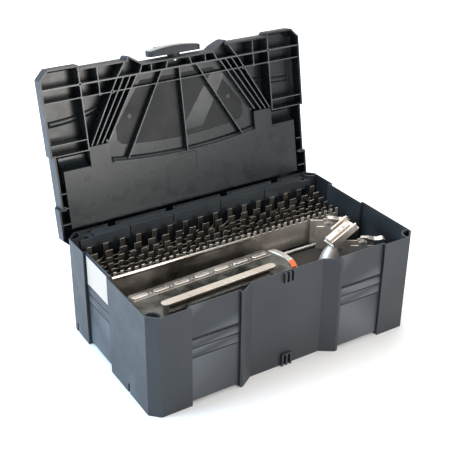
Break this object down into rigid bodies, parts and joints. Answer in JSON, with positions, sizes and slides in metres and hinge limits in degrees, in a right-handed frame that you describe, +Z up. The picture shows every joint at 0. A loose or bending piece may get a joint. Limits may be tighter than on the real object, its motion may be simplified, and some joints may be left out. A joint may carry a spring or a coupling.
{
  "type": "tool case with lift-out tray",
  "caption": "Hinged moulded tool case with a turning latch, holding upright notched steel blades, a lift-out steel tray with a bar handle, and a cradle with clamps and a pole socket.",
  "frame": {"origin": "centre of the plane that the base rests on, on the middle of the base", "axes": "+X to the right along the case as seen from its front, -Y towards the front with the latch, +Z up; the lid is hinged at +Y"},
  "size_m": [0.496, 0.4173, 0.4379],
  "materials": {
    "shell_plastic": "fine moulded grain",
    "catch_plastic": "satin",
    "latch_plastic": "satin",
    "rack_plastic": "satin",
    "card": "smooth card",
    "cradle_foam": "foam",
    "orange_plastic": "satin",
    "blade_steel": "oiled spring steel",
    "sheet_steel": "brushed",
    "deck_steel": "dark brushed",
    "bright_steel": "polished",
    "plain_steel": "plain",
    "black_steel": "black oxide",
    "cast_steel": "zinc plated casting"
  },
  "bodies": {
    "base": {"base_shell": "shell_plastic", "hinge_ledge": "shell_plastic", "hinge_brackets": "shell_plastic", "hinge_rods": "plain_steel", "upper_catch": "catch_plastic", "lower_catch": "catch_plastic", "label_card": "card", "blade_rack": "rack_plastic"},
    "lid": {"lid_shell": "shell_plastic", "front_ribs": "shell_plastic", "left_ribs": "shell_plastic", "right_ribs": "shell_plastic", "well_ribs": "shell_plastic", "lid_panel": "shell_plastic", "handle_plate": "shell_plastic", "handle_blocks": "shell_plastic", "handle_screws": "black_steel", "handle_pins": "plain_steel"},
    "handle": {"carry_handle": "shell_plastic"},
    "latch": {"latch_lever": "shell_plastic", "latch_inlay": "latch_plastic", "latch_spindle": "plain_steel"},
    "notched_blade_1": {"blade_1": "blade_steel"},
    "notched_blade_2": {"blade_2": "blade_steel"},
    "notched_blade_3": {"blade_3": "blade_steel"},
    "notched_blade_4": {"blade_4": "blade_steel"},
    "notched_blade_5": {"blade_5": "blade_steel"},
    "notched_blade_6": {"blade_6": "blade_steel"},
    "plain_blade": {"smooth_blade": "sheet_steel"},
    "tray": {"tray_box": "sheet_steel", "tray_deck": "deck_steel", "tray_rail": "sheet_steel", "tray_tabs": "sheet_steel", "tray_rivets": "plain_steel", "tray_trim": "bright_steel", "tray_marker": "orange_plastic", "tray_grip": "bright_steel", "grip_screws": "black_steel"},
    "cradle": {"tool_cradle": "cradle_foam", "screw_rod": "bright_steel", "clamp_a_jaws": "cast_steel", "clamp_a_spacer": "cast_steel", "clamp_a_pin": "plain_steel", "clamp_b_jaws": "cast_steel", "clamp_b_spacer": "cast_steel", "clamp_b_pin": "plain_steel", "head_channel": "cast_steel", "head_block": "cast_steel", "head_rivets": "plain_steel", "socket_pin": "bright_steel", "socket_marker": "orange_plastic"},
    "lever_a": {"clamp_a_lever": "bright_steel"},
    "lever_b": {"clamp_b_lever": "bright_steel"},
    "socket": {"pole_socket": "cast_steel"}
  },
  "joints": [
    {"name": "lid_hinge", "type": "hinge", "parent": "base", "child": "lid", "pos_m": [0, 0.1374, 0.1576], "axis": [-1, 0, 0], "range_deg": [-100.5, 0]},
    {"name": "handle_fold", "type": "hinge", "parent": "lid", "child": "handle", "pos_m": [0, 0.20876, 0.30446], "axis": [-1, 0, 0], "range_deg": [0, 90]},
    {"name": "latch_turn", "type": "hinge", "parent": "lid", "child": "latch", "pos_m": [0, 0.22247, 0.41684], "axis": [0, 0.1822, 0.9833], "range_deg": [-180, 0]},
    {"name": "blade_1_lift", "type": "slide", "parent": "base", "child": "notched_blade_1", "axis": [0, 0, 1], "range_m": [0, 0.08]},
    {"name": "blade_2_lift", "type": "slide", "parent": "base", "child": "notched_blade_2", "axis": [0, 0, 1], "range_m": [0, 0.08]},
    {"name": "blade_3_lift", "type": "slide", "parent": "base", "child": "notched_blade_3", "axis": [0, 0, 1], "range_m": [0, 0.08]},
    {"name": "blade_4_lift", "type": "slide", "parent": "base", "child": "notched_blade_4", "axis": [0, 0, 1], "range_m": [0, 0.08]},
    {"name": "blade_5_lift", "type": "slide", "parent": "base", "child": "notched_blade_5", "axis": [0, 0, 1], "range_m": [0, 0.08]},
    {"name": "blade_6_lift", "type": "slide", "parent": "base", "child": "notched_blade_6", "axis": [0, 0, 1], "range_m": [0, 0.08]},
    {"name": "plain_blade_lift", "type": "slide", "parent": "base", "child": "plain_blade", "axis": [0, 0, 1], "range_m": [0, 0.08]},
    {"name": "tray_lift", "type": "slide", "parent": "base", "child": "tray", "axis": [0, 0, 1], "range_m": [0, 0.15]},
    {"name": "cradle_lift", "type": "slide", "parent": "base", "child": "cradle", "axis": [0, 0, 1], "range_m": [0, 0.15]},
    {"name": "lever_a_lift", "type": "hinge", "parent": "cradle", "child": "lever_a", "pos_m": [0.18371, 0.00658, 0.147], "axis": [-0.515, -0.8572, 0], "range_deg": [0, 80]},
    {"name": "lever_b_lift", "type": "hinge", "parent": "cradle", "child": "lever_b", "pos_m": [0.19021, -0.07992, 0.147], "axis": [-0.515, -0.8572, 0], "range_deg": [0, 80]},
    {"name": "socket_turn", "type": "hinge", "parent": "cradle", "child": "socket", "pos_m": [0.15, -0.052, 0.14], "axis": [0.1564, 0, 0.9877], "continuous": true}
  ]
}
